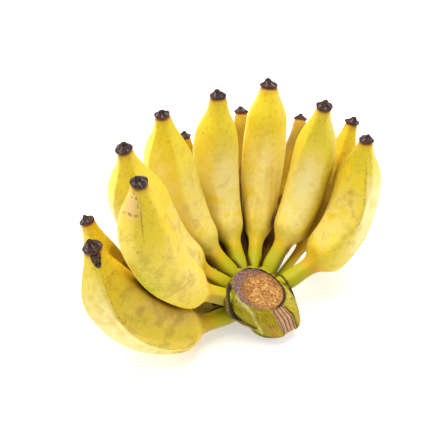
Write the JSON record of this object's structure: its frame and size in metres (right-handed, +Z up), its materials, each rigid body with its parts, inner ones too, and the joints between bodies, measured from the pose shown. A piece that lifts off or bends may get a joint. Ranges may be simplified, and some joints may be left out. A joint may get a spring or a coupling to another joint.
{
  "type": "hand of bananas",
  "caption": "Hand of short, thick, angular ripe bananas joined at a cut piece of bunch stalk, fanned and curling up; fresh fruit for a table, bowl or market stall.",
  "frame": {"origin": "on the table, under the middle of the hand's box", "axes": "+Z up as the hand lies, +Y towards the middle of the fan of fingers, +X to its right"},
  "size_m": [0.2152, 0.229, 0.1708],
  "materials": {
    "peel": "waxy satin banana peel, yellow with soft brown mottling and lime green stems",
    "dry_flower": "dry, shrivelled, dark brown flower remnant",
    "stalk": "green fibrous stalk skin with a dry brown cut face"
  },
  "bodies": {
    "root": {"crown": "stalk", "upper_finger_1": "peel", "upper_finger_2": "peel", "upper_finger_3": "peel", "upper_finger_4": "peel", "upper_finger_5": "peel", "upper_finger_6": "peel", "upper_finger_7": "peel", "lower_finger_1": "peel", "lower_finger_2": "peel", "lower_finger_3": "peel", "lower_finger_4": "peel", "lower_finger_5": "peel", "lower_finger_6": "peel", "lower_finger_7": "peel", "lower_finger_8": "peel", "upper_flower_1": "dry_flower", "upper_flower_2": "dry_flower", "upper_flower_3": "dry_flower", "upper_flower_4": "dry_flower", "upper_flower_5": "dry_flower", "upper_flower_6": "dry_flower", "upper_flower_7": "dry_flower", "lower_flower_1": "dry_flower", "lower_flower_2": "dry_flower", "lower_flower_3": "dry_flower", "lower_flower_4": "dry_flower", "lower_flower_5": "dry_flower", "lower_flower_6": "dry_flower", "lower_flower_7": "dry_flower", "lower_flower_8": "dry_flower"}
  },
  "joints": []
}
